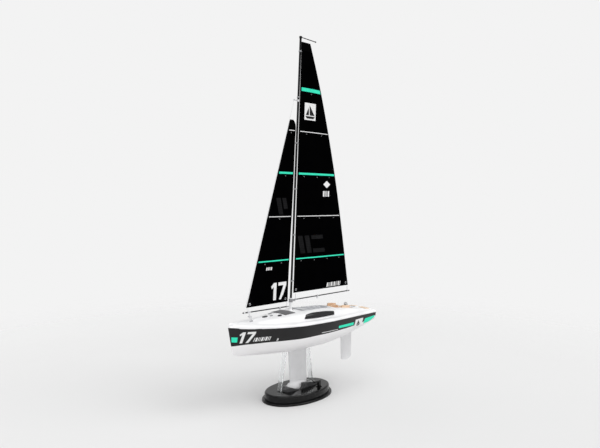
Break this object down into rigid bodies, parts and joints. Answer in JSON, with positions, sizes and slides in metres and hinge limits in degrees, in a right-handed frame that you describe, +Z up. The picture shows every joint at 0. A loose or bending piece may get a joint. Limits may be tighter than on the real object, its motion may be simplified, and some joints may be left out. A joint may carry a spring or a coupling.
{
  "type": "rc sailboat on display stand",
  "caption": "Small radio-controlled sailing yacht with two black sails, fin keel, rudder and inner servos, resting in a black display stand.",
  "frame": {"origin": "centre of the stand's underside, on the surface it stands on", "axes": "+X towards the bow, +Y to port, +Z up"},
  "size_m": [0.261, 0.0854, 0.5043],
  "materials": {
    "stand_black": "satin black moulding, soft sheen on its top",
    "clear_acrylic": "clear acrylic with polished edges",
    "hull_white": "gloss white with a dark printed band along the topsides",
    "deck_white": "satin white moulding",
    "fin_white": "smooth white moulding",
    "window_black": "gloss black film",
    "vent_dark": "dark grey grid",
    "cap_grey": "mid grey moulding",
    "teak": "teak planking with dark caulking lines",
    "carbon": "woven carbon tube under clear lacquer",
    "steel_wire": "bright stainless wire",
    "sail_black": "black sailcloth film with coloured seam tapes",
    "rig_black": "black nylon",
    "inner_steel": "zinc-plated steel",
    "brass_tube": "drawn brass",
    "servo_case": "translucent dark blue plastic",
    "servo_nylon": "white nylon",
    "tray_grey": "grey moulding",
    "cell_wrap": "shrink-wrapped cell",
    "board_green": "green circuit board",
    "switch_black": "black switch moulding"
  },
  "bodies": {
    "stand": {"stand_base": "stand_black", "keel_cup": "stand_black", "front_post": "clear_acrylic", "rear_post": "clear_acrylic", "stand_hook": "stand_black"},
    "boat": {"hull_shell": "hull_white", "deck_shell": "deck_white", "window_port": "window_black", "window_starboard": "window_black", "roof_vent_panel": "vent_dark", "deck_eye": "steel_wire", "deck_caps_dark": "vent_dark", "deck_caps_grey": "cap_grey", "aft_teak_panel": "teak", "cockpit_sole": "teak", "cockpit_seats": "teak", "helm_wheel": "cap_grey", "mast_collar": "deck_white", "mast_step": "servo_nylon", "mast": "carbon", "hound_fitting": "steel_wire", "masthead_crane": "carbon", "keel_fin": "fin_white", "ballast_bulb": "fin_white", "keel_stud": "inner_steel", "keel_nut": "inner_steel", "rudder_tube": "brass_tube", "servo_tray": "tray_grey", "tray_posts": "tray_grey", "tray_screws": "inner_steel", "rudder_servo": "servo_case", "sail_servo": "servo_case", "servo_screws": "inner_steel", "battery_holder": "tray_grey", "battery_cells": "cell_wrap", "receiver_board": "board_green", "switch_body": "switch_black"},
    "rudder": {"rudder_blade": "fin_white", "rudder_stock": "inner_steel", "tiller": "servo_nylon"},
    "rudder_arm": {"rudder_servo_arm": "servo_nylon"},
    "rudder_link": {"rudder_pushrod": "inner_steel"},
    "sail_arm": {"sail_servo_arm": "servo_nylon"},
    "switch_knob": {"switch_slider": "switch_black"},
    "hatch": {"slide_hatch": "deck_white"},
    "main_rig": {"gooseneck": "rig_black", "main_boom": "carbon", "main_sail": "sail_black", "mast_rings": "rig_black", "main_ties": "steel_wire", "main_sheet_eye": "steel_wire"},
    "jib_rig": {"jib_boom": "carbon", "jib_sail": "sail_black", "forestay": "steel_wire", "jib_ties": "steel_wire", "jib_sheet_eye": "steel_wire", "jib_swivel": "steel_wire"}
  },
  "joints": [
    {"name": "boat_lift", "type": "slide", "parent": "stand", "child": "boat", "axis": [0, 0, 1], "range_m": [0, 0.12]},
    {"name": "rudder_turn", "type": "hinge", "parent": "boat", "child": "rudder", "pos_m": [-0.103, 0, 0.08], "axis": [0, 0, 1], "range_deg": [-35, 35]},
    {"name": "rudder_servo_turn", "type": "hinge", "parent": "boat", "child": "rudder_arm", "pos_m": [-0.065, 0, 0.099], "axis": [0, 0, 1], "range_deg": [-35, 35]},
    {"name": "rudder_link_turn", "type": "hinge", "parent": "rudder_arm", "child": "rudder_link", "pos_m": [-0.065, 0.008, 0.099], "axis": [0, 0, 1], "range_deg": [-35, 35]},
    {"name": "sail_servo_turn", "type": "hinge", "parent": "boat", "child": "sail_arm", "pos_m": [-0.022, 0, 0.108], "axis": [0, 0, 1], "range_deg": [-45, 45]},
    {"name": "main_boom_swing", "type": "hinge", "parent": "boat", "child": "main_rig", "pos_m": [0.0139, 0, 0.121], "axis": [-0.0528, 0, 0.9986], "range_deg": [-70, 70]},
    {"name": "jib_boom_swing", "type": "hinge", "parent": "boat", "child": "jib_rig", "pos_m": [0.0877, 0, 0.124], "axis": [-0.2686, 0, 0.9632], "range_deg": [-60, 60]},
    {"name": "hatch_lift", "type": "slide", "parent": "boat", "child": "hatch", "axis": [0, 0, 1], "range_m": [0, 0.009]},
    {"name": "power_switch", "type": "slide", "parent": "boat", "child": "switch_knob", "axis": [1, 0, 0], "range_m": [0, 0.003]}
  ],
  "couplings": [
    {"joint": "rudder_turn", "follows": "rudder_servo_turn", "ratio": 1},
    {"joint": "rudder_link_turn", "follows": "rudder_servo_turn", "ratio": -1}
  ]
}
